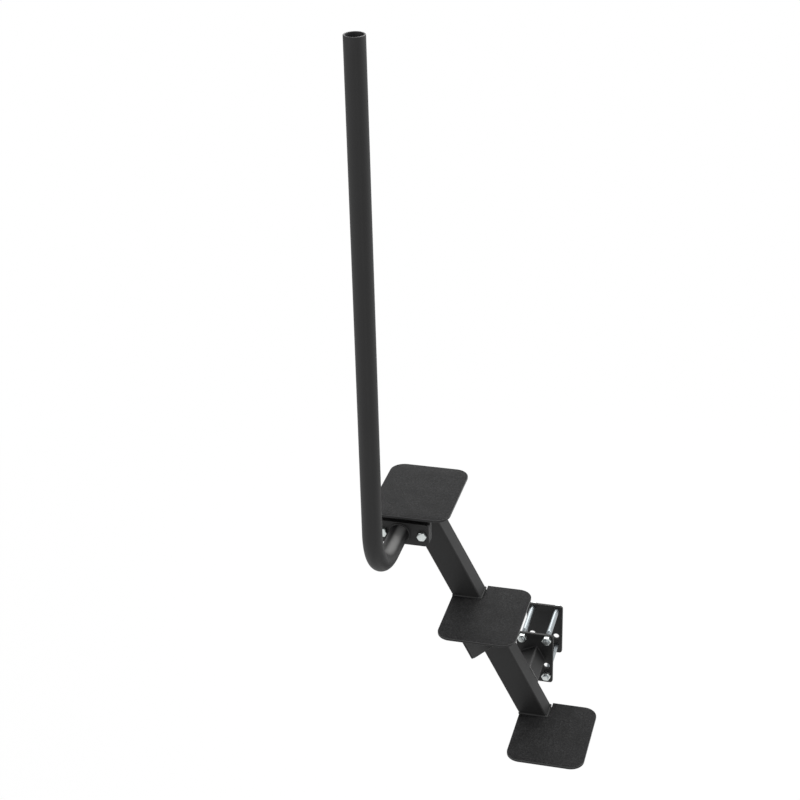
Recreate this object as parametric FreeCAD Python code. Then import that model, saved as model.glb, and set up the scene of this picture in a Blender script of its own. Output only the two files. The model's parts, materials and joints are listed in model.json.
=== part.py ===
import FreeCAD, Part
import math
import os

# Ladder steps for a trailer tongue: three steel treads on one sloping tube, a vertical
# handrail bolted under the top tread, and a two-plate clamp that grips the tongue rail.
# Millimetres. +Z is up, +X is the way the steps go down, +Y points to the tongue rail.
# The origin lies on the inner face of the near clamp plate, midway between its bolts.

V = FreeCAD.Vector

# Treads, from the top one down
tread_names = ("top_tread", "middle_tread", "bottom_tread")
tread_width = 178.0
tread_depth = 228.0
tread_thickness = 6.0
tread_corner_radius = 32.0
tread_insets = (7.0, 0.5, 1.5)
step_rises = (300.0, 307.5)
top_tread_height = 537.0

# Stringer, one rectangular tube; its run and rise give the slope
stringer_run = 157.0
stringer_rise = 308.0
stringer_width = 60.0
stringer_depth = 50.0
stringer_wall = 3.0
stringer_corner_radius = 4.0
stringer_from_near_edge = 171.5
stringer_tip_setback = 12.0
notch_clearance = 1.0

# Gussets on the stringer's near wall, under the two treads that reach out over it
gusset_names = ("top_gusset", "middle_gusset")
gusset_thickness = 6.0
gusset_setback = 50.0
gusset_nose = 85.0
gusset_root = 134.0
gusset_corner_radius = 5.0

# Handrail, one bent pipe with a flange welded to its lower end
rail_diameter = 42.2
rail_wall = 3.6
rail_height = 1107.0
rail_bend_radius = 122.0
rail_stand_off = 181.0
rail_from_left_edge = 65.0
rail_drop = 57.0

# Flange on the pipe, and the bracket of the same width that it bolts to
flange_width = 118.0
flange_offset = 7.0
flange_height = 54.0
flange_thickness = 12.7
flange_corner_radius = 10.0
flange_bolt_spacing = 88.0
bracket_thickness = 12.7

# Fasteners, one thread size throughout
bolt_diameter = 12.7
bolt_hole_diameter = 14.0
thread_clearance = 0.1
hex_across_flats = 19.0
head_thickness = 8.0
nut_thickness = 11.0
flange_bolt_end = 5.0
clamp_bolt_end = 4.0

# Tongue clamp and the arm that carries it
clamp_thickness = 6.0
clamp_corner_radius = 7.0
clamp_gap = 120.0
clamp_bolt_columns = 59.0
clamp_bolt_rows = 102.0
clamp_side_margin = 15.0
clamp_top_margin = 12.0
clamp_bottom_margin = 21.0
spare_hole_drop = 75.0
arm_size = 45.0
arm_wall = 3.0
arm_corner_radius = 3.5
arm_length = 86.5
arm_offset = 4.5

# Directions and places that follow from the sizes
slope_length = math.hypot(stringer_run, stringer_rise)
away = V(0, 1, 0)
down = V(stringer_run / slope_length, 0, -stringer_rise / slope_length)
across = V(stringer_rise / slope_length, 0, stringer_run / slope_length)
stringer_far = -clamp_thickness - arm_length
stringer_near = stringer_far - stringer_depth
tread_near = stringer_near - stringer_from_near_edge
bracket_far = tread_near + gusset_setback
bracket_near = bracket_far - bracket_thickness
flange_near = bracket_near - flange_thickness
rail_low = top_tread_height - rail_drop
arm_middle = V(-arm_offset, stringer_far, 0)
clamp_rows = (clamp_bolt_rows / 2, -clamp_bolt_rows / 2)
clamp_columns = (-clamp_bolt_columns / 2, clamp_bolt_columns / 2)


def tread_top(level):
    """Height of a tread's top face; level 0 is the top tread."""
    return top_tread_height - sum(step_rises[:level])


def on_stringer(height, share):
    """Point at a height in the stringer's far face, a share of its width across the slope.

    The whole width, a share of 1, is the upper wall, flush with the arm's.
    """
    point = arm_middle + across * (arm_size / 2 + (share - 1) * stringer_width)
    return point + down * ((point.z - height) * slope_length / stringer_rise)


def tread_left(level):
    """Left edge of a tread, a little inside the stringer's lower wall."""
    return on_stringer(tread_top(level), 0).x + tread_insets[level]


rail_x = tread_left(0) + rail_from_left_edge
flange_x = rail_x + flange_offset


def rounded_face(corner, u, w, width, height, radius):
    """Rectangle with rounded corners, from its corner along u and w."""
    inset = radius * (1 - math.sqrt(0.5))
    starts = ((radius, 0), (width, radius), (width - radius, height), (0, height - radius))
    ends = ((width - radius, 0), (width, height - radius), (radius, height), (0, radius))
    bends = ((width - inset, inset), (width - inset, height - inset),
             (inset, height - inset), (inset, inset))
    edges = []
    for number in range(4):
        begin, end, bend, after = [corner + u * pair[0] + w * pair[1] for pair in
                                   (starts[number], ends[number], bends[number],
                                    starts[(number + 1) % 4])]
        edges.append(Part.makeLine(begin, end))
        edges.append(Part.Arc(end, bend, after).toShape())
    return Part.Face(Part.Wire(edges))


def drilled(plate, places, near, thickness):
    """Plate with a clearance hole along Y at each (x, z)."""
    for x, z in places:
        plate = plate.cut(Part.makeCylinder(bolt_hole_diameter / 2, thickness, V(x, near, z), away))
    return plate


def stringer_bar(wall):
    """Sloping bar, one wall smaller all round, cut level under the top and bottom treads.

    Its tip is cut plumb and closed, so that the top tread's rounded corner covers it.
    """
    width = stringer_width - 2 * wall
    depth = stringer_depth - 2 * wall
    lowest = len(tread_names) - 1
    foot = tread_top(lowest) - tread_thickness
    height = top_tread_height - tread_thickness - foot
    corner = on_stringer(top_tread_height + stringer_width, 0)
    corner = corner + across * wall - away * (stringer_depth - wall)
    section = rounded_face(corner, across, away, width, depth, stringer_corner_radius - wall)
    bar = section.extrude(down * (height + 3 * stringer_width) * (slope_length / stringer_rise))
    tip = V(tread_left(0) + stringer_tip_setback + wall, stringer_near - stringer_depth / 2, foot)
    band = Part.makeBox(tread_left(lowest) - tread_left(0) + 4 * stringer_width,
                        2 * stringer_depth, height, tip)
    return bar.common(band)


def tread(level):
    """Tread plate; the lower two have a corner cut out for the stringer to pass."""
    left = tread_left(level)
    low = tread_top(level) - tread_thickness
    face = rounded_face(V(left, tread_near, low), V(1, 0, 0), away,
                        tread_width, tread_depth, tread_corner_radius)
    plate = face.extrude(V(0, 0, tread_thickness))
    if level == 0:
        return plate
    right = on_stringer(low, 1).x + notch_clearance
    notch = Part.makeBox(right - left + stringer_width, stringer_width + stringer_depth,
                         tread_thickness, V(left - stringer_width, stringer_near, low))
    return plate.cut(notch)


def gusset(level):
    """Tapered web in the stringer's middle plane, from its near wall out under a tread."""
    top = tread_top(level) - tread_thickness
    middle = on_stringer(top, 0.5)
    front = V(middle.x, bracket_far, top)
    back = V(middle.x, stringer_near, top)
    nose = front + down * gusset_nose
    rise = down * gusset_thickness
    outline = [front - rise, back - rise, back + down * gusset_root, nose, front - rise]
    web = Part.Face(Part.makePolygon(outline)).extrude(across * gusset_thickness)
    web.translate(across * (-gusset_thickness / 2))
    above = Part.makeBox(4 * stringer_width, tread_depth, 2 * gusset_thickness,
                         V(middle.x - 2 * stringer_width, tread_near, top))
    web = web.cut(above)
    corner = [edge for edge in web.Edges
              if edge.CenterOfMass.distanceToPoint(nose) < gusset_thickness / 2]
    return web.makeFillet(gusset_corner_radius, corner)


def hexagon(seat, way, thickness):
    """Hexagonal head or nut that stands on its seat, two of its corners level with it."""
    corner = hex_across_flats / 2 / math.cos(math.radians(30))
    turns = [math.radians(60 * number) for number in range(7)]
    points = [seat + V(corner * math.cos(turn), 0, corner * math.sin(turn)) for turn in turns]
    return Part.Face(Part.makePolygon(points)).extrude(way * thickness)


def bolt(seat, way, grip, end):
    """Hexagon bolt: its head on the seat, its shank through the grip and the nut to its end."""
    length = grip + nut_thickness + end
    shank = Part.makeCylinder(bolt_diameter / 2, length, seat, way)
    return hexagon(seat, -way, head_thickness).fuse(shank)


def nut(seat, way):
    """Hexagon nut that stands on its seat, with a plain bore for the shank."""
    radius = bolt_diameter / 2 + thread_clearance
    return hexagon(seat, way, nut_thickness).cut(
        Part.makeCylinder(radius, nut_thickness, seat, way))


def rail_bar(radius):
    """Round bar along the rail: out from the flange, round the bend and straight up."""
    y = tread_near - rail_stand_off
    inset = rail_bend_radius * (1 - math.sqrt(0.5))
    start = V(rail_x, flange_near, rail_low)
    bend_start = V(rail_x, y + rail_bend_radius, rail_low)
    bend_middle = V(rail_x, y + inset, rail_low + inset)
    bend_end = V(rail_x, y, rail_low + rail_bend_radius)
    top = V(rail_x, y, top_tread_height + rail_height)
    path = Part.Wire([Part.makeLine(start, bend_start),
                      Part.Arc(bend_start, bend_middle, bend_end).toShape(),
                      Part.makeLine(bend_end, top)])
    return path.makePipeShell([Part.Wire(Part.makeCircle(radius, start, away))], True, False)


def rail_plate(near, thickness, top):
    """Plate across the rail's lower end with its two bolt holes."""
    low = rail_low - flange_height / 2
    face = rounded_face(V(flange_x - flange_width / 2, near, low), V(1, 0, 0), V(0, 0, 1),
                        flange_width, top - low, flange_corner_radius)
    places = [(flange_x + side * flange_bolt_spacing / 2, rail_low) for side in (-1, 1)]
    return drilled(face.extrude(away * thickness), places, near, thickness)


def clamp_plate(near):
    """Clamp plate with four bolt holes, and two spare ones for a lower tongue rail."""
    width = clamp_bolt_columns + 2 * clamp_side_margin
    height = clamp_bolt_rows + clamp_top_margin + clamp_bottom_margin
    corner = V(-width / 2, near, -clamp_bolt_rows / 2 - clamp_bottom_margin)
    face = rounded_face(corner, V(1, 0, 0), V(0, 0, 1), width, height, clamp_corner_radius)
    rows = clamp_rows + (clamp_rows[0] - spare_hole_drop,)
    places = [(x, z) for x in clamp_columns for z in rows]
    return drilled(face.extrude(away * clamp_thickness), places, near, clamp_thickness)


def arm_bar(wall):
    """Bar of the arm between stringer and clamp, one wall smaller all round."""
    size = arm_size - 2 * wall
    corner = arm_middle - (across + down) * (size / 2)
    return rounded_face(corner, across, down, size, size,
                        arm_corner_radius - wall).extrude(away * arm_length)


parts = {"stringer": stringer_bar(0).cut(stringer_bar(stringer_wall))}
for level, name in enumerate(tread_names):
    parts[name] = tread(level)
for level, name in enumerate(gusset_names):
    parts[name] = gusset(level)

tread_underside = top_tread_height - tread_thickness
parts["rail_bracket"] = rail_plate(bracket_near, bracket_thickness, tread_underside)
parts["rail_flange"] = rail_plate(flange_near, flange_thickness, rail_low + flange_height / 2)
parts["handrail"] = rail_bar(rail_diameter / 2).cut(rail_bar(rail_diameter / 2 - rail_wall))
for side, name in ((-1, "left"), (1, "right")):
    x = flange_x + side * flange_bolt_spacing / 2
    grip = flange_thickness + bracket_thickness
    parts["rail_bolt_" + name] = bolt(V(x, flange_near, rail_low), away, grip, flange_bolt_end)
    parts["rail_nut_" + name] = nut(V(x, bracket_far, rail_low), away)

parts["clamp_arm"] = arm_bar(0).cut(arm_bar(arm_wall))
parts["near_clamp_plate"] = clamp_plate(-clamp_thickness)
parts["far_clamp_plate"] = clamp_plate(clamp_gap)
for row, high in zip(clamp_rows, ("upper", "lower")):
    for column, side in zip(clamp_columns, ("left", "right")):
        name = high + "_" + side
        far_seat = V(column, clamp_gap + clamp_thickness, row)
        near_seat = V(column, -clamp_thickness, row)
        grip = clamp_gap + 2 * clamp_thickness
        parts["clamp_bolt_" + name] = bolt(far_seat, -away, grip, clamp_bolt_end)
        parts["clamp_nut_" + name] = nut(near_seat, -away)

os.makedirs("parts", exist_ok=True)
for name, shape in parts.items():
    if not shape.isValid() or len(shape.Solids) != 1:
        raise ValueError(name + " is not one valid solid")
    shape.Solids[0].exportStep("parts/" + name + ".step")
    print(name, round(shape.Volume / 1000, 1), "cm3")
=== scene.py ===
"""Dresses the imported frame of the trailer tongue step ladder.

Plates with softened edges, a handrail swept along its line, threaded fasteners and weld beads
are worked out with numpy around the frame, and every surface gets powder coat, grit or zinc.
Lengths are metres in the frame's axes: +Z up, +X the way the steps go down, +Y to the tongue.
"""

import json
import logging
import math
from dataclasses import dataclass
from enum import Enum

import bmesh
import bpy
import numpy as np
from mathutils import Euler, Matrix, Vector
from mathutils.geometry import tessellate_polygon


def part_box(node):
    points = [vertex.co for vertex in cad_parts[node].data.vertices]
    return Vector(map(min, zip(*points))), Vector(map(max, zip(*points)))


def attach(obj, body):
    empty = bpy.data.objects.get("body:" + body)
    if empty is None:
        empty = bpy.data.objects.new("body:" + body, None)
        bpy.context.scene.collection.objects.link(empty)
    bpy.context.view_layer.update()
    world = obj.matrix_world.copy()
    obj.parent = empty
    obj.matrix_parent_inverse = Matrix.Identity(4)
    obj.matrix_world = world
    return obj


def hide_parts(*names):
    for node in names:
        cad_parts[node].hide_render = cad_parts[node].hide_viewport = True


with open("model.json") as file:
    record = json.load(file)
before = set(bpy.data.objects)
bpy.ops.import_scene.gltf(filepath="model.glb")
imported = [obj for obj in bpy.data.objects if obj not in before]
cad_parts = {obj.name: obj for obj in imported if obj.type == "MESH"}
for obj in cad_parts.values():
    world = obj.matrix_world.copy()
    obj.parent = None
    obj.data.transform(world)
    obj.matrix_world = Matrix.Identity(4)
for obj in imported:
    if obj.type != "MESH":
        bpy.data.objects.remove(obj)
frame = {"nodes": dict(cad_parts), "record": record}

log = logging.getLogger("step_ladder")
Array = np.ndarray
Piece = bpy.types.Object
Socket = bpy.types.NodeSocket
BODY = "root"
WHITE = (1.0, 1.0, 1.0, 1.0)
X, Y, Z = np.eye(3)


class Slot(Enum):
    """The record's material slots."""

    POWDER = "black_powder_coat"
    GRIT = "gritted_tread"
    ZINC = "zinc_plated_steel"


class Ends(Enum):
    """How a swept skin ends along its path."""

    OPEN = "open"
    CAPPED = "capped"
    JOINED = "joined"


class Curve(Enum):
    """How a value goes from one end of a range to the other."""

    STRAIGHT = "LINEAR"
    SMOOTH = "SMOOTHSTEP"


class Maths(Enum):
    """What is done with numbers in a node tree."""

    PRODUCT = "MULTIPLY"
    LARGEST = "MAXIMUM"


@dataclass(frozen=True)
class Pattern:
    """Waves in a metre and octaves of a noise, and the share and height of its bump."""

    waves: float
    octaves: float
    share: float = 0.0
    height: float = 0.0


class Graph:
    """A node tree, built from nodes with their values set as they are added."""

    def __init__(self, owner: bpy.types.Material | bpy.types.World) -> None:
        """Empties the owner's node tree.

        Args:
            owner: The material or world whose nodes these are.
        """
        owner.use_nodes = True
        self.owner = owner
        self.tree = owner.node_tree
        self.tree.nodes.clear()

    def add(self, kind: str, inputs: dict | None = None, **settings: object) -> bpy.types.Node:
        """Adds a node.

        Args:
            kind: Blender's name for the node's type.
            inputs: Values, or other nodes' outputs, by socket name or number.
            **settings: Properties of the node itself.

        Returns:
            The new node.
        """
        node = self.tree.nodes.new(kind)
        for key, value in settings.items():
            setattr(node, key, value)
        for key, value in (inputs or {}).items():
            if isinstance(value, Socket):
                self.tree.links.new(value, node.inputs[key])
            else:
                node.inputs[key].default_value = value
        return node

    def noise(self, place: Socket, pattern: Pattern) -> Socket:
        """Adds a pattern's noise, read at a place."""
        return self.add("ShaderNodeTexNoise", {"Vector": place, "Scale": pattern.waves,
                                               "Detail": pattern.octaves}).outputs["Fac"]

    def ramp(self, factor: Socket, places: tuple, colours: tuple) -> Socket:
        """Adds a colour ramp.

        Args:
            factor: What the ramp reads.
            places: The factor at each stop.
            colours: The colour at each stop.

        Returns:
            The colour's socket.
        """
        node = self.add("ShaderNodeValToRGB", {"Fac": factor})
        stops = node.color_ramp.elements
        while len(stops) < len(places):
            stops.new(0.5)
        for stop, place, colour in zip(stops, places, colours):
            stop.position = place
            stop.color = (*colour, 1.0)
        return node.outputs["Color"]

    def span(self, factor: Socket, values: tuple, between: tuple = (0.3, 0.7),
             curve: Curve = Curve.STRAIGHT) -> Socket:
        """Maps a factor to a range of values, which holds at its ends.

        Args:
            factor: What is mapped.
            values: The values at the two ends.
            between: The factor at the two ends; a noise is mostly between 0.3 and 0.7.
            curve: The way from one end to the other.

        Returns:
            The mapped value's socket.
        """
        ends = {1: between[0], 2: between[1], 3: values[0], 4: values[1]}
        return self.add("ShaderNodeMapRange", {0: factor, **ends}, clamp=True,
                        interpolation_type=curve.value).outputs[0]

    def combine(self, maths: Maths, *numbers: Socket) -> Socket:
        """Combines the first two numbers, and the result with each of the others.

        Args:
            maths: What is done with two numbers.
            *numbers: The numbers.

        Returns:
            The result's socket.
        """
        result = numbers[0]
        for number in numbers[1:]:
            node = self.add("ShaderNodeMath", {0: result, 1: number}, operation=maths.value)
            result = node.outputs[0]
        return result

    def dot(self, first: Socket, second: Socket | tuple) -> Socket:
        """Dot product of two vectors."""
        return self.add("ShaderNodeVectorMath", {0: first, 1: second},
                        operation="DOT_PRODUCT").outputs["Value"]

    def mix(self, share: Socket, first: Socket, second: Socket | tuple) -> Socket:
        """The first colour where the share is 0 and the second where it is 1."""
        return self.add("ShaderNodeMix", {0: share, 6: first, 7: second},
                        data_type="RGBA").outputs[2]

    def bump(self, height: Socket, pattern: Pattern, under: Socket | None = None) -> Socket:
        """Raises the surface.

        Args:
            height: What raises it, from 0 to 1.
            pattern: The pattern that has the bump's share and height.
            under: Normal of a coarser bump that this one lies on.

        Returns:
            The normal's socket.
        """
        node = self.add("ShaderNodeBump", {"Height": height, "Strength": pattern.share,
                                           "Distance": pattern.height})
        if under is not None:
            self.tree.links.new(under, node.inputs["Normal"])
        return node.outputs["Normal"]

    def finish(self, shader: bpy.types.Node, output: str) -> bpy.types.ID:
        """Joins the shader to an output of a type and returns the material or world."""
        self.tree.links.new(shader.outputs[0], self.add(output).inputs["Surface"])
        return self.owner

    def surface(self, inputs: dict) -> bpy.types.Material:
        """Finishes a material with one shader that has these inputs."""
        return self.finish(self.add("ShaderNodeBsdfPrincipled", inputs), "ShaderNodeOutputMaterial")


@dataclass(frozen=True)
class PowderCoat:
    """Satin black powder coat with the faint waviness of a sprayed and baked film."""

    name: str = "powder_coat"
    deep: tuple = (0.0042, 0.0042, 0.0044)
    worn: tuple = (0.0080, 0.0080, 0.0082)
    # painted highlight: the paler colour along sharp edges
    edge: tuple = (0.0850, 0.0850, 0.0860)
    drift: tuple = (0.35, 0.68)
    roughness: tuple = (0.54, 0.62)
    shine: float = 0.42
    cloud: Pattern = Pattern(14.0, 5.0)
    peel: Pattern = Pattern(330.0, 2.0, 0.55, 0.00012)
    grain: Pattern = Pattern(2300.0, 1.0, 0.60, 0.00003)
    edge_radius: float = 0.0016
    edge_turn: tuple = (0.985, 0.80)
    edge_samples: int = 4

    def edges(self, graph: Graph) -> Socket:
        """One along sharp edges, zero on flat and gently curved faces.

        It grows as the normal that a rounded edge would have leaves the surface's own.

        Args:
            graph: The material's nodes.

        Returns:
            The mask's socket.
        """
        rounded = graph.add("ShaderNodeBevel", {"Radius": self.edge_radius},
                            samples=self.edge_samples).outputs["Normal"]
        own = graph.add("ShaderNodeNewGeometry").outputs["Normal"]
        return graph.span(graph.dot(rounded, own), (0.0, 1.0), self.edge_turn)

    def colour(self, graph: Graph, cloud: Socket) -> Socket:
        """Colour drifts between two blacks over clouds and is painted paler along sharp edges, a
        painted highlight.
        """
        drift = graph.ramp(cloud, self.drift, (self.deep, self.worn))
        return graph.mix(self.edges(graph), drift, (*self.edge, 1.0))

    def material(self) -> bpy.types.Material:
        """Dresses the colour with a bump of orange peel over fine grain.

        Returns:
            The material.
        """
        graph = Graph(bpy.data.materials.new(self.name))
        place = graph.add("ShaderNodeTexCoord").outputs["Object"]
        cloud = graph.noise(place, self.cloud)
        wavy = graph.bump(graph.noise(place, self.peel), self.peel)
        fine = graph.bump(graph.noise(place, self.grain), self.grain, wavy)
        return graph.surface({"Base Color": self.colour(graph, cloud), "Normal": fine,
                              "Roughness": graph.span(cloud, self.roughness),
                              "Specular IOR Level": self.shine})


@dataclass(frozen=True)
class RailCoat(PowderCoat):
    """The handrail's powder coat with a painted highlight: paler where the level run faces up."""

    name: str = "rail_coat"
    # painted highlight: its paler colour, the side it faces and the facing over which it fades in
    painted_light: tuple = (0.165, 0.165, 0.162)
    painted_highlight_side: tuple = (0.40, 0.0, 0.917)
    painted_highlight_turn: tuple = (0.80, 1.06)

    def colour(self, graph: Graph, cloud: Socket) -> Socket:
        """Fades from the coat's colour to a paler one as the surface faces the lit side: a painted
        highlight.

        Args:
            graph: The material's nodes.
            cloud: The clouds' factor.

        Returns:
            The colour's socket.
        """
        normal = graph.add("ShaderNodeTexCoord").outputs["Normal"]
        facing = graph.dot(normal, self.painted_highlight_side)
        fade = graph.span(facing, (0.0, 1.0), self.painted_highlight_turn, Curve.SMOOTH)
        return graph.mix(fade, super().colour(graph, cloud), (*self.painted_light, 1.0))


@dataclass(frozen=True)
class GritCoat:
    """Black non-slip coat: hard grains of about a millimetre bedded in the paint.

    The grains lie on the upper face only; round the edges and below, the paint is smooth and
    painted lighter, which is painted light, and the rounded edges get a painted highlight.
    The slopes are the upward part of the surface's normal.
    """

    name: str = "grit_coat"
    binder: tuple = (0.0060, 0.0060, 0.0062)
    grains: tuple = (0.0230, 0.0230, 0.0235)
    # painted light: the sides' lighter colour; painted highlight: the colour where the edges round
    # over
    painted_light: tuple = (0.0240, 0.0240, 0.0245)
    edge: tuple = (0.0900, 0.0900, 0.0910)
    tones: tuple = (0.12, 0.55)
    strewn: tuple = (0.45, 1.55)
    gritted_slopes: tuple = (0.64, 0.94)
    painted_light_slopes: tuple = (0.06, 0.42, 0.80, 0.97)
    roughness: tuple = (0.55, 0.80)
    smooth: float = 0.36
    shine: float = 0.14
    crown: tuple = (0.0, 0.75)
    cell: Pattern = Pattern(760.0, 0.0, 0.70, 0.00042)
    fine: Pattern = Pattern(1292.0, 3.0, 0.50, 0.00014)
    dust: Pattern = Pattern(26.0, 4.0)
    patch: Pattern = Pattern(240.0, 1.0)

    def material(self) -> bpy.types.Material:
        """Each cell is a grain with its own grey; cells and a fine noise raise the surface.

        The grains are strewn in patches of about four millimetres. The surface's own upward
        slope says where they are: all of them where it is level, none where it stands more
        than about 50 degrees steep.

        Returns:
            The material.
        """
        graph = Graph(bpy.data.materials.new(self.name))
        coordinates = graph.add("ShaderNodeTexCoord").outputs
        place = coordinates["Object"]
        slope = graph.add("ShaderNodeSeparateXYZ", {"Vector": coordinates["Normal"]}).outputs["Z"]
        level = graph.span(slope, (0.0, 1.0), self.gritted_slopes, Curve.SMOOTH)
        cells = graph.add("ShaderNodeTexVoronoi", {"Vector": place, "Scale": self.cell.waves,
                                                   "Detail": self.cell.octaves}).outputs
        own = graph.add("ShaderNodeSeparateColor", {"Color": cells["Color"]}).outputs
        patch = graph.span(graph.noise(place, self.patch), self.strewn)
        tone = graph.combine(Maths.PRODUCT, graph.noise(place, self.dust), patch, own[0])
        gritted = graph.ramp(tone, self.tones, (self.binder, self.grains))
        # painted light on the sides and a painted highlight on the rounded edges, by slope
        painted_light_sides = graph.ramp(slope, self.painted_light_slopes,
                          (self.painted_light, self.edge, self.edge, self.painted_light))
        crown = graph.span(cells["Distance"], (1.0, 0.0), self.crown, Curve.SMOOTH)
        raised = graph.bump(graph.combine(Maths.PRODUCT, crown, own[1], level), self.cell)
        fine = graph.noise(place, self.fine)
        rough = graph.add("ShaderNodeMix", {0: level, 2: self.smooth,
                                            3: graph.span(fine, self.roughness)}).outputs[0]
        return graph.surface({"Base Color": graph.mix(level, painted_light_sides, gritted), "Roughness": rough,
                              "Specular IOR Level": self.shine,
                              "Normal": graph.bump(fine, self.fine, raised)})


@dataclass(frozen=True)
class ZincPlate:
    """Bright zinc plating with soft blotches and fine wire marks, painted darker on shanks and
    threads as painted shade.
    """

    name: str = "zinc_plate"
    bright: tuple = (0.70, 0.74, 0.73)
    dull: tuple = (0.56, 0.60, 0.59)
    # painted shade: the darker colour of the shank and thread
    painted_shade: tuple = (0.33, 0.36, 0.375)
    painted_shade_mark: str = "painted_shade"
    drift: tuple = (0.34, 0.62)
    roughness: tuple = (0.28, 0.40)
    blotch: Pattern = Pattern(160.0, 4.0)
    mark: Pattern = Pattern(2800.0, 2.0, 0.08, 0.00002)

    def material(self) -> bpy.types.Material:
        """Blotches mix a bright and a dull metal; marks are a fine noise in the bump.

        A piece's own attribute says where its threads and shank are painted darker, a painted
        shade.

        Returns:
            The material.
        """
        graph = Graph(bpy.data.materials.new(self.name))
        place = graph.add("ShaderNodeTexCoord").outputs["Object"]
        blotch = graph.noise(place, self.blotch)
        clean = graph.ramp(blotch, self.drift, (self.dull, self.bright))
        painted_shade_share = graph.add("ShaderNodeAttribute", attribute_name=self.painted_shade_mark).outputs["Fac"]
        return graph.surface({"Base Color": graph.mix(painted_shade_share, clean, (*self.painted_shade, 1.0)),
                              "Metallic": 1.0, "Roughness": graph.span(blotch, self.roughness),
                              "Normal": graph.bump(graph.noise(place, self.mark), self.mark)})


@dataclass
class Finishes:
    """The three finishes as materials, by slot, and the powder coats with painted highlights."""

    powder: PowderCoat = PowderCoat()
    # the arm and the clamp plates get a stronger, wider painted edge highlight
    arm_powder: PowderCoat = PowderCoat("arm_coat", edge=(0.30, 0.30, 0.30), edge_radius=0.0045)
    rail_powder: RailCoat = RailCoat()
    clamp_powder: PowderCoat = PowderCoat("clamp_coat", edge=(0.20, 0.20, 0.19),
                                          edge_radius=0.0028)
    grit: GritCoat = GritCoat()
    zinc: ZincPlate = ZincPlate()

    def __post_init__(self) -> None:
        """Makes each material once."""
        self.by_slot = {Slot.POWDER: self.powder.material(), Slot.GRIT: self.grit.material(),
                        Slot.ZINC: self.zinc.material()}
        self.clamp_coat = self.clamp_powder.material()
        self.rail_coat = self.rail_powder.material()

    def dress_frame(self) -> None:
        """Gives every node the material of its slot in the record, and the arm its own coat."""
        for subpart in frame["record"]["subparts"]:
            mesh = frame["nodes"][subpart["node"]].data
            mesh.materials.clear()
            mesh.materials.append(self.by_slot[Slot(subpart["material_slot"])])
        frame["nodes"]["clamp_arm"].data.materials[0] = self.arm_powder.material()


def box(node: str) -> tuple[Array, Array]:
    """Lowest and highest corners of a node at rest."""
    low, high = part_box(node)
    return np.array(low), np.array(high)


def make_piece(name: str, points: Array, faces: list, smooth: Array | None, slot: Slot,
               finishes: Finishes, crease: float = 32.0) -> Piece:
    """Puts a closed skin into a mesh, its faces outward, and lets it ride on the frame.

    Args:
        name: The piece's name.
        points: Corners, one row each.
        faces: Corner numbers of each face.
        smooth: Which faces are shaded smooth, or None for all of them.
        slot: The finish it takes.
        finishes: The materials.
        crease: Angle in degrees over which an edge stays sharp.

    Returns:
        The piece.
    """
    mesh = bpy.data.meshes.new(name)
    mesh.from_pydata(points.reshape(-1, 3), [], faces)
    flags = np.ones(len(faces), bool) if smooth is None else smooth
    mesh.polygons.foreach_set("use_smooth", flags)
    shell = bmesh.new()
    shell.from_mesh(mesh)
    if shell.calc_volume(signed=True) < 0:
        bmesh.ops.reverse_faces(shell, faces=shell.faces)
    shell.to_mesh(mesh)
    shell.free()
    mesh.set_sharp_from_angle(angle=math.radians(crease))
    mesh.materials.append(finishes.by_slot[slot])
    piece = bpy.data.objects.new(name, mesh)
    bpy.context.scene.collection.objects.link(piece)
    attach(piece, BODY)
    return piece


def skin_faces(rows: int, columns: int, ends: Ends, first: int = 0) -> list:
    """Faces of a skin that closes around its columns.

    Args:
        rows: How many rings the skin has.
        columns: Corners in each ring.
        ends: How the first and last rings end.
        first: Number of the skin's first corner.

    Returns:
        Quads between successive rings, and the two caps if there are any.
    """
    number = first + np.arange(rows * columns).reshape(rows, columns)
    below = np.roll(number, -1, axis=0)
    quads = np.stack([number, np.roll(number, -1, axis=1), np.roll(below, -1, axis=1), below], -1)
    if ends is not Ends.JOINED:
        quads = quads[:-1]
    faces = quads.reshape(-1, 4).tolist()
    if ends is Ends.CAPPED:
        faces += [number[0, ::-1].tolist(), number[-1].tolist()]
    return faces


def ring_angles(steps: int) -> Array:
    """Angles in radians of evenly spaced points once round an axis."""
    return np.radians(np.arange(steps) * 360 / steps)


def arc(start: float, stop: float, steps: int) -> Array:
    """Cosine and sine of evenly spaced angles from one to another, in degrees."""
    turn = np.radians(np.linspace(start, stop, steps))
    return np.stack([np.cos(turn), np.sin(turn)], -1)


def rounded_loop(low: tuple, high: tuple, radius: float, steps: int) -> Array:
    """Rectangle with rounded corners, anticlockwise: each corner is centre plus radius times arc.

    Args:
        low: Lowest corner.
        high: Highest corner.
        radius: Corner radius.
        steps: Points in each corner.

    Returns:
        The loop's points.
    """
    left, near, right, far = low[0] + radius, low[1] + radius, high[0] - radius, high[1] - radius
    corners = (((left, near), 180), ((right, near), 270), ((right, far), 0), ((left, far), 90))
    return np.concatenate([np.array(centre) + radius * arc(turn, turn + 90, steps)
                           for centre, turn in corners])


def round_hole(centre: tuple, radius: float, steps: int = 40) -> Array:
    """Clockwise circle, so that the plate's steel lies to its left as on the outer loop."""
    return np.array(centre) + radius * arc(360, 360 / steps, steps)


def inset_loop(loop: Array, distance: float) -> Array:
    """Moves each point of a loop to its left by a distance from both of its edges.

    The move is the distance times the sum of the two edges' left normals, over one plus their
    dot product, which is the mitre of the two.

    Args:
        loop: The loop's points.
        distance: How far each edge moves.

    Returns:
        The moved points.
    """
    edge = np.roll(loop, -1, axis=0) - loop
    edge = edge / np.linalg.norm(edge, axis=1, keepdims=True)
    left = np.stack([-edge[:, 1], edge[:, 0]], -1)
    before = np.roll(left, 1, axis=0)
    mitre = (left + before) / (1 + (left * before).sum(1, keepdims=True))
    return loop + distance * mitre


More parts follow.
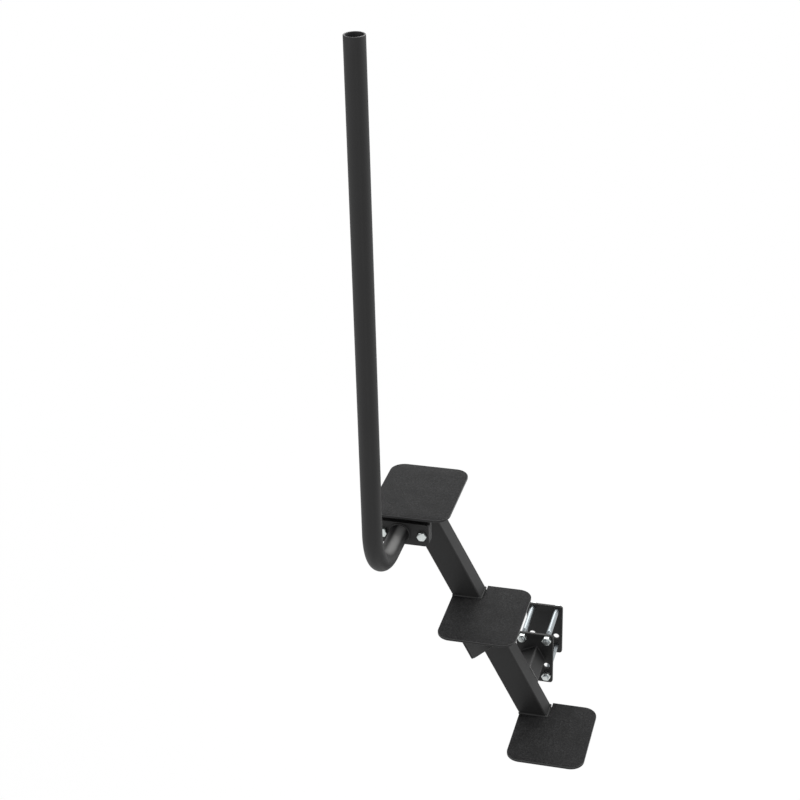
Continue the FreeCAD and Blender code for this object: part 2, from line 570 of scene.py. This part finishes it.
@dataclass
class Plate:
    """Flat steel plate with softened edges, standing on a plane along a direction.

    The skin is a function of two parameters: the way round a loop, and the way over the edge,
    where inset and height follow a quarter circle, the straight side and a quarter circle.
    """

    outline: Array
    holes: list
    thickness: float
    origin: Array
    u: Array
    v: Array
    w: Array
    edge: float = 0.0009
    edge_steps: int = 5

    def profile(self) -> Array:
        """Carries the section over the edge.

        Returns:
            Inset and height at each step, from the low face to the high one.
        """
        quarter = arc(0, 90, self.edge_steps)
        low = self.edge * np.stack([1 - quarter[:, 1], 1 - quarter[:, 0]], -1)
        high = low[::-1] * [1, -1] + [0, self.thickness]
        return np.concatenate([low, high])

    def build(self, name: str, slot: Slot, finishes: Finishes) -> Piece:
        """Builds the plate.

        Args:
            name: The piece's name.
            slot: The finish it takes.
            finishes: The materials.

        Returns:
            The piece.
        """
        profile = self.profile()
        points, faces, flat_loops, starts, first = [], [], [], [], 0
        for loop in [self.outline, *self.holes]:
            rings = np.stack([np.column_stack([inset_loop(loop, inset),
                                               np.full(len(loop), height)])
                              for inset, height in profile])
            points.append(rings.reshape(-1, 3))
            faces += skin_faces(len(profile), len(loop), Ends.OPEN, first)
            flat_loops.append(rings[0])
            starts.append((first, first + (len(profile) - 1) * len(loop)))
            first += len(points[-1])
        walls = len(faces)
        faces += self.caps(flat_loops, starts)
        placed = self.origin + np.concatenate(points) @ np.stack([self.u, self.v, self.w])
        smooth = np.arange(len(faces)) < walls
        return make_piece(name, placed, faces, smooth, slot, finishes)

    def caps(self, loops: list, starts: list) -> list:
        """Triangles over both faces, between the outer loop and the holes.

        Args:
            loops: The loops of the low face.
            starts: Number of each loop's first corner on the low and on the high face.

        Returns:
            Corner numbers of the triangles, the low face's turned over.
        """
        triangles = np.array(tessellate_polygon([loop.tolist() for loop in loops]))
        flat = np.concatenate(loops)
        a, b, c = (flat[triangles[:, k]] for k in range(3))
        area = (b - a)[:, 0] * (c - a)[:, 1] - (b - a)[:, 1] * (c - a)[:, 0]
        triangles = np.where((area < 0)[:, None], triangles[:, ::-1], triangles)
        number = [np.concatenate([np.arange(len(loop)) + start[side]
                                  for loop, start in zip(loops, starts)]) for side in (0, 1)]
        return number[0][triangles[:, ::-1]].tolist() + number[1][triangles].tolist()


@dataclass(frozen=True)
class Drilled:
    """How an upright plate is cut: its corners, the steps of each, and its holes."""

    corner_radius: float
    corner_steps: int
    hole_radius: float = 0.007

    def build(self, node: str, places: list, finishes: Finishes) -> Piece:
        """Builds a plate that stands across Y, in the place of its node.

        Args:
            node: The node's name.
            places: x and z of each hole.
            finishes: The materials.

        Returns:
            The piece.
        """
        low, high = box(node)
        outline = rounded_loop(low[[0, 2]], high[[0, 2]], self.corner_radius, self.corner_steps)
        holes = [round_hole(place, self.hole_radius) for place in places]
        plate = Plate(outline, holes, high[1] - low[1], Y * low[1], X, Z, Y)
        piece = plate.build(node + "_plate", Slot.POWDER, finishes)
        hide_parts(node)
        return piece


@dataclass(frozen=True)
class Bead:
    """Weld bead: a circle carried along a seam, its size rippling as the puddles froze.

    At a way s along the seam and an angle a round it, the radius is the size times one plus the
    ripple depth times the cosine of s over the pitch, less a lag that follows the sine of a. At
    an open end it also shrinks with the square root of the way to the end.
    """

    size: float = 0.0030
    pitch: float = 0.0021
    ripple: float = 0.10
    lag: float = 1.3
    around: int = 14
    step: float = 0.0005
    fewest: int = 8
    reach: int = 3
    end_share: float = 0.02
    crease: float = 60.0

    def rings(self, path: Array, normal: Array, ends: Ends) -> Array:
        """Rings of the bead along a path in a plane.

        Args:
            path: The seam's points.
            normal: The plane's normal.
            ends: Whether the path closes on itself.

        Returns:
            Points by way along the seam and angle round it.
        """
        closed = ends is Ends.JOINED
        track = np.vstack([path, path[:1]]) if closed else path
        leg = np.linalg.norm(np.diff(track, axis=0), axis=1)
        way = np.concatenate([[0.0], np.cumsum(leg)])
        count = max(self.fewest, int(way[-1] / self.step))
        s = np.linspace(0, way[-1], count, endpoint=not closed)
        line = np.stack([np.interp(s, way, track[:, k]) for k in range(3)], -1)
        wide = self.reach
        ahead, behind = np.roll(line, -wide, axis=0), np.roll(line, wide, axis=0)
        if not closed:
            ahead[-wide:], behind[:wide] = line[-wide:], line[:wide]
        tangent = ahead - behind
        tangent = tangent / np.linalg.norm(tangent, axis=1, keepdims=True)
        side = np.cross(tangent, normal)
        turn = ring_angles(self.around)
        phase = 2 * math.pi * s[:, None] / self.pitch - self.lag * np.sin(turn)[None]
        radius = self.size * (1 + self.ripple * np.cos(phase))
        if not closed:
            run_out = np.minimum(s, way[-1] - s)
            radius = radius * np.sqrt(np.clip(run_out / self.size, self.end_share, 1))[:, None]
        return (line[:, None] + radius[..., None] * (np.cos(turn)[None, :, None] * side[:, None]
                                                     + np.sin(turn)[None, :, None] * normal))

    def build(self, name: str, seams: list, finishes: Finishes) -> Piece:
        """Builds one piece of beads.

        Args:
            name: The piece's name.
            seams: For each seam, its points, its plane's normal and how it ends.
            finishes: The materials.

        Returns:
            The piece.
        """
        points, faces, first = [], [], 0
        for path, normal, ends in seams:
            rings = self.rings(path, normal, ends)
            faces += skin_faces(len(rings), self.around, ends, first)
            points.append(rings.reshape(-1, 3))
            first += len(points[-1])
        return make_piece(name, np.concatenate(points), faces, None, Slot.POWDER, finishes,
                          self.crease)


@dataclass(frozen=True)
class Slope:
    """The stringer's line, which the steps, gussets and arm follow."""

    run: float = 0.157
    rise: float = 0.308
    width: float = 0.060
    arm_size: float = 0.045
    arm_offset: float = 0.0045

    @property
    def down(self) -> Array:
        """Unit vector down the slope."""
        return np.array([self.run, 0.0, -self.rise]) / math.hypot(self.run, self.rise)

    @property
    def across(self) -> Array:
        """Unit vector square to the slope, up and forward."""
        return np.array([self.rise, 0.0, self.run]) / math.hypot(self.run, self.rise)

    def point(self, height: float, share: float, y: float) -> Array:
        """Point of the stringer at a height.

        Args:
            height: The point's z.
            share: Share of the stringer's width from its lower wall.
            y: The point's y.

        Returns:
            The point.
        """
        start = np.array([-self.arm_offset, y, 0.0])
        start = start + self.across * (self.arm_size / 2 + (share - 1) * self.width)
        return start + self.down * ((start[2] - height) / -self.down[2])


@dataclass
class Treads:
    """The three tread plates; the lower two have a corner cut out for the stringer."""

    finishes: Finishes
    names: tuple = ("top_tread", "middle_tread", "bottom_tread")
    corner_radius: float = 0.032
    corner_steps: int = 16
    notch_clearance: float = 0.001
    slope: Slope = Slope()

    def outline(self, low: Array, high: Array, notched: bool) -> Array:
        """Loop of a tread seen from above.

        Args:
            low: Lowest corner of the tread.
            high: Highest corner.
            notched: Whether its far left corner, the loop's last, is cut out.

        Returns:
            The loop's points.
        """
        loop = rounded_loop(low, high, self.corner_radius, self.corner_steps)
        if not notched:
            return loop
        near = box("stringer")[0][1]
        right = self.slope.point(low[2], 1, near)[0] + self.notch_clearance
        cut = np.array([[right, high[1]], [right, near], [low[0], near]])
        return np.concatenate([loop[:3 * self.corner_steps], cut])

    def build(self) -> list[Piece]:
        """Builds each tread in the place of its node.

        Returns:
            The three pieces.
        """
        pieces = []
        for number, name in enumerate(self.names):
            low, high = box(name)
            plate = Plate(self.outline(low, high, number > 0), [], high[2] - low[2],
                          Z * low[2], X, Y, Z)
            piece = plate.build(name + "_plate", Slot.GRIT, self.finishes)
            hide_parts(name)
            pieces.append(piece)
        return pieces


@dataclass
class Handrail:
    """The bent pipe: out from its flange, round the bend and up to an open, softened rim.

    Its skin is a function of the way along the pipe and the angle round it: the outside, a half
    circle over the rim, and the inside back to the flange.
    """

    finishes: Finishes
    radius: float = 0.0211
    wall: float = 0.0036
    bend_radius: float = 0.122
    lead: float = 0.020
    rim: float = 0.0011
    bend_steps: int = 49
    climb_steps: int = 24
    rim_steps: int = 9
    around: int = 96
    crease: float = 40.0

    def line(self) -> tuple[Array, Array]:
        """Carries the pipe's axis out, round a quarter circle and up.

        Returns:
            Points of the axis from flange to rim, and the outward normal at each.
        """
        low, high = box("handrail")
        x, y, z = (low[0] + high[0]) / 2, low[1] + self.radius, low[2] + self.radius
        outward = np.column_stack([np.zeros(self.bend_steps), arc(270, 180, self.bend_steps)])
        start = np.array([[x, high[1], z], [x, high[1] - self.lead, z]])
        bend = [x, y, z] + self.bend_radius * (outward + Y + Z)
        rise = np.linspace(z + self.bend_radius + self.lead, high[2] - self.rim, self.climb_steps)
        climb = np.column_stack([np.full((self.climb_steps, 2), [x, y]), rise])
        normals = np.concatenate([[-Z, -Z], outward, np.repeat(-Y[None], self.climb_steps, 0)])
        return np.concatenate([start, bend, climb]), normals

    def build(self) -> list[Piece]:
        """Sweeps the wall's section: outside up, over the rim's half circle, inside down.

        Returns:
            The pipe.
        """
        points, normals = self.line()
        half = arc(0, 180, self.rim_steps)[1:-1] * [self.wall / 2, self.rim]
        centre = np.concatenate([points, points[-1] + half[:, 1:] * Z, points[::-1]])
        normal = np.concatenate([normals, np.repeat(normals[-1:], len(half), 0), normals[::-1]])
        radius = np.concatenate([np.full(len(points), self.radius),
                                 self.radius - self.wall / 2 + half[:, 0],
                                 np.full(len(points), self.radius - self.wall)])
        turn = ring_angles(self.around)[None, :, None]
        spoke = np.cos(turn) * X + np.sin(turn) * normal[:, None]
        rings = centre[:, None] + radius[:, None, None] * spoke
        faces = skin_faces(len(rings), self.around, Ends.JOINED)
        pipe = make_piece("handrail_pipe", rings, faces, None, Slot.POWDER, self.finishes,
                          self.crease)
        # the rail coat paints a highlight on the level run
        pipe.data.materials[0] = self.finishes.rail_coat
        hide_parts("handrail")
        return [pipe]


@dataclass
class RailMount:
    """The pipe's flange and the bracket behind it, each with two bolt holes."""

    finishes: Finishes
    cut: Drilled = Drilled(0.010, 12)
    bolt_spacing: float = 0.088
    bolts_above_edge: float = 0.027

    def build(self) -> list[Piece]:
        """Builds both plates in the places of their nodes.

        Returns:
            The two pieces.
        """
        pieces = []
        for name in ("rail_flange", "rail_bracket"):
            low, high = box(name)
            middle, level = (low[0] + high[0]) / 2, low[2] + self.bolts_above_edge
            places = [(middle + side * self.bolt_spacing / 2, level) for side in (-1, 1)]
            pieces.append(self.cut.build(name, places, self.finishes))
        return pieces


@dataclass
class Clamp:
    """The two plates that grip the tongue rail, each with four bolt holes and two spare ones."""

    finishes: Finishes
    cut: Drilled = Drilled(0.007, 9)
    columns: float = 0.059
    rows: float = 0.102
    spare_drop: float = 0.075

    def build(self) -> list[Piece]:
        """Builds both plates in the places of their nodes, with a painted highlight along their
        edges.

        Returns:
            The two pieces.
        """
        levels = (self.rows / 2, -self.rows / 2, self.rows / 2 - self.spare_drop)
        places = [(side * self.columns / 2, level) for side in (-1, 1) for level in levels]
        pieces = [self.cut.build(name, places, self.finishes)
                  for name in ("near_clamp_plate", "far_clamp_plate")]
        for piece in pieces:
            # the clamp coat paints a highlight along the plates' edges
            piece.data.materials[0] = self.finishes.clamp_coat
        return pieces


@dataclass
class Fasteners:
    """Half-inch hexagon bolts and nuts, chamfered, with real threads.

    Each is one skin about its axis. A hexagon's radius at an angle is the apothem over the
    cosine of the angle from the nearest flat, and never more than its crown plus the way in
    from the face over the tangent of 30 degrees. A thread's radius falls from the crest by the
    depth times a triangle wave of way over pitch less angle over a full turn.
    """

    finishes: Finishes
    radius: float = 0.00635
    across_flats: float = 0.019
    head: float = 0.008
    nut: float = 0.011
    pitch: float = 0.00195
    depth: float = 0.00095
    rail_thread: float = 0.026
    clamp_thread: float = 0.044
    washer_face: float = 0.0004
    washer_share: float = 0.97
    crown_share: float = 0.93
    chamfer_steps: tuple = (0.0, 0.0003, 0.0006, 0.0009, 0.0012, 0.0016)
    face_share: float = 0.4
    tip_share: float = 0.3
    tip_length: float = 0.0012
    tip_depth: float = 1.1
    bore_clearance: float = 0.0001
    mouth: float = 0.0006
    rings_a_turn: int = 10
    around: int = 72

    def hexagon(self, depth_in: Array) -> Array:
        """Radius of the chamfered hexagon.

        Args:
            depth_in: Way in from the chamfered face, one for each ring.

        Returns:
            Radius by ring and angle.
        """
        apothem = self.across_flats / 2
        turn = np.arange(self.around) * 360 / self.around
        flats = apothem / np.cos(np.radians(turn % 60 - 30))
        crown = apothem * self.crown_share + depth_in / math.tan(math.radians(30))
        return np.minimum(flats[None], crown[:, None])

    def thread(self, way: Array, length: float) -> Array:
        """Radius of the threaded end, which runs in over two turns and tapers at its tip.

        Args:
            way: Way along the shank from where the thread starts, one for each ring.
            length: Length of the threaded end.

        Returns:
            Radius by ring and angle.
        """
        turn = np.arange(self.around) / self.around
        wave = np.abs((way[:, None] / self.pitch - turn[None]) % 1 * 2 - 1)
        run_in = np.clip(way / (2 * self.pitch), 0, 1)[:, None]
        point = np.clip((length - way) / self.tip_length, 0, 1)[:, None]
        radius = self.radius - self.depth * (1 - wave) * run_in
        return np.minimum(radius, self.radius - self.depth * self.tip_depth * (1 - point))

    def chamfered(self, thickness: float) -> tuple[Array, Array]:
        """Rings of a hexagon from its chamfered face to its washer face.

        Args:
            thickness: Thickness of the head or nut.

        Returns:
            Height above the seat, and radius by ring and angle.
        """
        depth_in = np.array([*self.chamfer_steps, thickness - self.washer_face])
        washer = self.level_rings(2, self.across_flats / 2 * self.washer_share)
        height = np.concatenate([thickness - depth_in, [self.washer_face, 0.0]])
        return height, np.concatenate([self.hexagon(depth_in), washer])

    def level_rings(self, count: int, radius: float) -> Array:
        """Radius by ring and angle of some round rings of one size."""
        return np.full((count, self.around), radius)

    def turn(self, node: str, suffix: str, seat: Array, heights: Array, radii: Array,
             ends: Ends) -> Piece:
        """Turns rings about a fastener's axis into a piece in the place of its node.

        Args:
            node: The node's name.
            suffix: What the piece's name adds to it.
            seat: The seat's centre.
            heights: Way of each ring from the seat along Y.
            radii: Radius by ring and angle.
            ends: How the rings end.

        Returns:
            The piece.
        """
        turn = ring_angles(self.around)[None, :, None]
        spoke = np.cos(turn) * X + np.sin(turn) * Z
        points = seat + heights[:, None, None] * Y + radii[..., None] * spoke
        faces = skin_faces(len(heights), self.around, ends)
        piece = make_piece(node + suffix, points, faces, None, Slot.ZINC, self.finishes)
        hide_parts(node)
        return piece

    def build_bolt(self, node: str, way: int, thread: float) -> Piece:
        """Builds a bolt, painted darker from under its head to near its tip as painted shade.

        Args:
            node: The node's name.
            way: +1 where the shank runs along +Y from its head, else -1.
            thread: Length of the threaded end.

        Returns:
            The piece.
        """
        low, high = box(node)
        seat = (low + high) / 2
        seat[1] = (low if way > 0 else high)[1] + way * self.head
        length = (high - low)[1] - self.head
        height, rings = self.chamfered(self.head)
        step = self.pitch / self.rings_a_turn
        turns = np.arange(1, int(thread / step) + 1) * step
        heights = np.concatenate([[-self.head], -height, [0.0, length - thread],
                                  length - thread + turns, [length]])
        radii = np.concatenate([self.level_rings(1, self.across_flats / 2 * self.face_share),
                                rings, self.level_rings(2, self.radius),
                                self.thread(turns, thread),
                                self.level_rings(1, self.radius * self.tip_share)])
        piece = self.turn(node, "_threaded", seat, way * heights, radii, Ends.CAPPED)
        ring = np.arange(len(heights))
        # painted shade on the shank and thread, from under the head to near the tip
        painted_shade = (ring > len(height)) & (ring < len(heights) - 2)
        mark = piece.data.attributes.new(self.finishes.zinc.painted_shade_mark, "FLOAT", "POINT")
        mark.data.foreach_set("value", np.repeat(painted_shade, self.around).astype(float))
        return piece

    def build_nut(self, node: str, way: int) -> Piece:
        """Builds a nut.

        Args:
            node: The node's name.
            way: +1 where the nut stands on its seat along +Y, else -1.

        Returns:
            The piece.
        """
        low, high = box(node)
        seat = (low + high) / 2
        seat[1] = (low if way > 0 else high)[1]
        height, rings = self.chamfered(self.nut)
        bore = self.radius + self.bore_clearance
        mouth = self.level_rings(1, bore + self.mouth)
        heights = np.concatenate([height, [0.0, self.mouth, self.nut - self.mouth, self.nut]])
        radii = np.concatenate([rings, mouth, self.level_rings(2, bore), mouth])
        return self.turn(node, "_chamfered", seat, way * heights, radii, Ends.JOINED)

    def build(self) -> list[Piece]:
        """Builds the two rail bolts and the four clamp bolts with their nuts.

        Returns:
            The twelve pieces.
        """
        pieces = []
        for side in ("left", "right"):
            pieces += [self.build_bolt("rail_bolt_" + side, 1, self.rail_thread),
                       self.build_nut("rail_nut_" + side, 1)]
            for level in ("upper", "lower"):
                pieces += [self.build_bolt(f"clamp_bolt_{level}_{side}", -1, self.clamp_thread),
                           self.build_nut(f"clamp_nut_{level}_{side}", -1)]
        return pieces


@dataclass
class Welds:
    """Beads along every seam where two pieces are welded, in one piece for each joint.

    The arm's seam on the stringer leaves out the corner where the two tubes are flush: it
    starts at one point of the arm's loop and stops a few points short of it.
    """

    finishes: Finishes
    slope: Slope = Slope()
    head_bead: Bead = Bead()
    tread_bead: Bead = Bead(0.0026)
    web_bead: Bead = Bead(0.0028)
    arm_bead: Bead = Bead(0.0018, 0.0017, 0.08)
    pipe_bead: Bead = Bead(0.0027, 0.0024)
    web: float = 0.006
    gusset_root: float = 0.134
    tube_corner: float = 0.004
    arm_corner: float = 0.0035
    corner_steps: int = 8
    arm_seam_start: int = 18
    arm_seam_gap: int = 4
    pipe_radius: float = Handrail.radius
    pipe_bead_out: float = 0.0010
    pipe_steps: int = 72
    margin: float = 0.004
    web_margin: float = 0.002
    tread_overrun: float = 0.001

    def tube_loop(self, height: float) -> Array:
        """Rounded loop of the stringer where a level plane cuts it.

        Args:
            height: The plane's height.

        Returns:
            Points of the loop.
        """
        low, high = box("stringer")
        left = max(self.slope.point(height, 0, 0)[0], low[0])
        right = self.slope.point(height, 1, 0)[0]
        flat = rounded_loop((left, low[1]), (right, high[1]), self.tube_corner, self.corner_steps)
        return np.column_stack([flat, np.full(len(flat), height)])

    def arm_loop(self, y: float) -> Array:
        """Rounded loop of the arm in a plane across Y.

        Args:
            y: The plane's y.

        Returns:
            Points of the loop.
        """
        half = self.slope.arm_size / 2
        flat = rounded_loop((-half, -half), (half, half), self.arm_corner, self.corner_steps)
        middle = np.array([-self.slope.arm_offset, y, 0.0])
        return middle + flat @ np.stack([self.slope.across, self.slope.down])

    def build_web_seams(self, level: str) -> Piece:
        """Builds the seams on both sides of a gusset, at the stringer and under the tread.

        Args:
            level: What the names of the tread and its gusset start with.

        Returns:
            The piece.
        """
        top = box(level + "_tread")[0][2]
        front = box(level + "_gusset")[0][1] + self.web_margin
        wall = box("stringer")[0][1]
        seams = []
        for shift in (-self.web / 2, self.web / 2):
            root = self.slope.point(top, 0.5, wall) + self.slope.across * shift
            foot = root + self.slope.down * (self.gusset_root - self.margin)
            head = self.slope.point(top, 0.5, front) + X * (shift / self.slope.across[0])
            seams += [(np.stack([root, foot]), -Y, Ends.CAPPED),
                      (np.stack([head, head + Y * (wall - front)]), -Z, Ends.CAPPED)]
        return self.web_bead.build(f"weld_{level}_tread_gusset", seams, self.finishes)

    def build_tread_seam(self, tread: str) -> Piece:
        """Builds the seam round the stringer's near and right walls on a notched tread.

        Args:
            tread: The tread's name.

        Returns:
            The piece.
        """
        low, high = box("stringer")
        level = box(tread)[1][2]
        left = self.slope.point(level, 0, low[1]) - X * self.tread_overrun
        right = self.slope.point(level, 1, low[1])
        back = np.array([right[0], high[1], level])
        seam = (np.stack([left, right, back]), Z, Ends.CAPPED)
        return self.tread_bead.build("weld_" + tread, [seam], self.finishes)

    def build_arm_seams(self) -> Piece:
        """Builds the arm's ring on the clamp plate and its open seam on the stringer.

        Returns:
            The piece.
        """
        wall, plate = box("stringer")[1][1], box("near_clamp_plate")[0][1]
        open_loop = np.roll(self.arm_loop(wall), -self.arm_seam_start, axis=0)
        seams = [(self.arm_loop(plate), Y, Ends.JOINED),
                 (open_loop[:-self.arm_seam_gap], Y, Ends.CAPPED)]
        return self.arm_bead.build("weld_clamp_arm", seams, self.finishes)

    def build_rail_seams(self) -> list[Piece]:
        """Builds the ring where the pipe meets its flange and the seam over the bracket.

        Returns:
            The two pieces.
        """
        low, high = box("handrail")
        centre = np.array([(low[0] + high[0]) / 2, high[1], low[2] + self.pipe_radius])
        ring = arc(0, 360 - 360 / self.pipe_steps, self.pipe_steps)
        ring = ring * (self.pipe_radius + self.pipe_bead_out)
        seam = (centre + ring[:, :1] * X + ring[:, 1:] * Z, Y, Ends.JOINED)
        low, high = box("rail_bracket")
        left = np.array([low[0] + self.margin, high[1], high[2]])
        right = high - X * self.margin
        under = (np.stack([left, right]), Z, Ends.CAPPED)
        return [self.pipe_bead.build("weld_handrail_flange", [seam], self.finishes),
                self.web_bead.build("weld_rail_bracket", [under], self.finishes)]

    def build(self) -> list[Piece]:
        """Builds the beads from the stringer's head down to the clamp, then the handrail's.

        Returns:
            The eight pieces.
        """
        head = (self.tube_loop(box("top_tread")[0][2]), Z, Ends.JOINED)
        return [self.head_bead.build("weld_stringer_head", [head], self.finishes),
                *map(self.build_tread_seam, ("middle_tread", "bottom_tread")),
                *map(self.build_web_seams, ("top", "middle")),
                self.build_arm_seams(), *self.build_rail_seams()]


@dataclass(frozen=True)
class Lamp:
    """Square soft lamp: where it hangs, the point that it faces, its side and its watts."""

    name: str
    place: tuple
    target: tuple
    size: float
    power: float

    def hang(self) -> None:
        """Hangs the lamp in the scene, turned to its target."""
        data = bpy.data.lights.new(self.name, "AREA")
        data.size = self.size
        data.energy = self.power
        lamp = bpy.data.objects.new(self.name, data)
        lamp.location = self.place
        aim = np.array(self.target) - np.array(self.place)
        tilt = math.atan2(math.hypot(aim[0], aim[1]), -aim[2])
        lamp.rotation_euler = Euler((tilt, 0.0, math.atan2(-aim[0], aim[1])), "XYZ")
        bpy.context.scene.collection.objects.link(lamp)


@dataclass
class Studio:
    """White studio: a pale floor far below, a white surround, soft lamps and the camera.

    The floor is seen as plain white but for a share near the ladder, which keeps the shadow.
    The white share grows over a fade between two distances from the origin.
    """

    camera_place: tuple = (0.66496, -3.54706, 2.54935)
    camera_turn: tuple = (62.721, 1.359, 14.805)
    lens: float = 81.870
    sensor: float = 36.0
    clip_end: float = 100.0
    floor_level: float = -0.62
    floor_size: float = 60.0
    floor_colour: tuple = (0.85, 0.85, 0.85, 1.0)
    fade: tuple = (1.2, 3.0)
    white_share: tuple = (0.88, 1.0)
    ambient: float = 0.75
    lamps: tuple = (Lamp("back_lamp", (-1.3, 4.2, 2.9), (-0.2, -0.2, 0.4), 3.2, 80.0),
                    Lamp("right_lamp", (1.7, 1.0, 2.9), (-0.2, -0.3, 0.45), 1.3, 60.0),
                    Lamp("front_lamp", (-2.2, -3.4, 3.0), (-0.1, -0.3, 0.5), 2.6, 30.0))

    def set_camera(self) -> None:
        """Places the camera at the photograph's view."""
        data = bpy.data.cameras.new("camera")
        data.lens = self.lens
        data.sensor_width = self.sensor
        data.clip_end = self.clip_end
        camera = bpy.data.objects.new("camera", data)
        camera.location = self.camera_place
        camera.rotation_euler = Euler([math.radians(turn) for turn in self.camera_turn], "XYZ")
        bpy.context.scene.collection.objects.link(camera)
        bpy.context.scene.camera = camera

    def seen(self, graph: Graph) -> Socket:
        """One for camera, glossy and transmission rays, zero for the rest."""
        path = graph.add("ShaderNodeLightPath").outputs
        return graph.combine(Maths.LARGEST, path["Is Camera Ray"], path["Is Glossy Ray"],
                             path["Is Transmission Ray"])

    def set_world(self) -> None:
        """White where it is seen or mirrored, a plain grey where it only lights."""
        world = bpy.data.worlds.new("studio")
        bpy.context.scene.world = world
        graph = Graph(world)
        grey, white = (graph.add("ShaderNodeBackground", {"Color": WHITE, "Strength": strength})
                       for strength in (self.ambient, 1.0))
        mixed = graph.add("ShaderNodeMixShader", {0: self.seen(graph), 1: grey.outputs[0],
                                                  2: white.outputs[0]})
        graph.finish(mixed, "ShaderNodeOutputWorld")

    def add_floor(self) -> None:
        """Pale floor that keeps a soft share of the ladder's shadow and is else seen white."""
        half = self.floor_size / 2
        corners = np.array([[-half, -half], [half, -half], [half, half], [-half, half]])
        points = np.column_stack([corners, np.full(4, self.floor_level)])
        mesh = bpy.data.meshes.new("floor")
        mesh.from_pydata(points, [], [[0, 1, 2, 3]])
        graph = Graph(bpy.data.materials.new("floor"))
        matt = graph.add("ShaderNodeBsdfDiffuse", {"Color": self.floor_colour})
        white = graph.add("ShaderNodeEmission", {"Color": WHITE, "Strength": 1.0})
        place = graph.add("ShaderNodeTexCoord").outputs["Object"]
        away = graph.add("ShaderNodeVectorMath", {0: place}, operation="LENGTH").outputs["Value"]
        fade = graph.span(away, self.white_share, self.fade, Curve.SMOOTH)
        share = graph.combine(Maths.PRODUCT, self.seen(graph), fade)
        mixed = graph.add("ShaderNodeMixShader", {0: share, 1: matt.outputs[0],
                                                  2: white.outputs[0]})
        mesh.materials.append(graph.finish(mixed, "ShaderNodeOutputMaterial"))
        floor = bpy.data.objects.new("floor", mesh)
        bpy.context.scene.collection.objects.link(floor)

    def build(self) -> None:
        """Sets the camera, the surround, the floor and the lamps."""
        bpy.context.scene.view_settings.view_transform = "Standard"
        self.set_camera()
        self.set_world()
        self.add_floor()
        for lamp in self.lamps:
            lamp.hang()


def main() -> None:
    """Builds every sub-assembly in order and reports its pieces."""
    logging.basicConfig(level=logging.INFO, format="%(name)s %(message)s")
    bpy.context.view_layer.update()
    finishes = Finishes()
    finishes.dress_frame()
    for kind in (Treads, Handrail, RailMount, Clamp, Fasteners, Welds):
        for piece in kind(finishes).build():
            log.info("%s: %s, %d faces", kind.__name__, piece.name, len(piece.data.polygons))
    Studio().build()


if __name__ == "__main__":
    main()
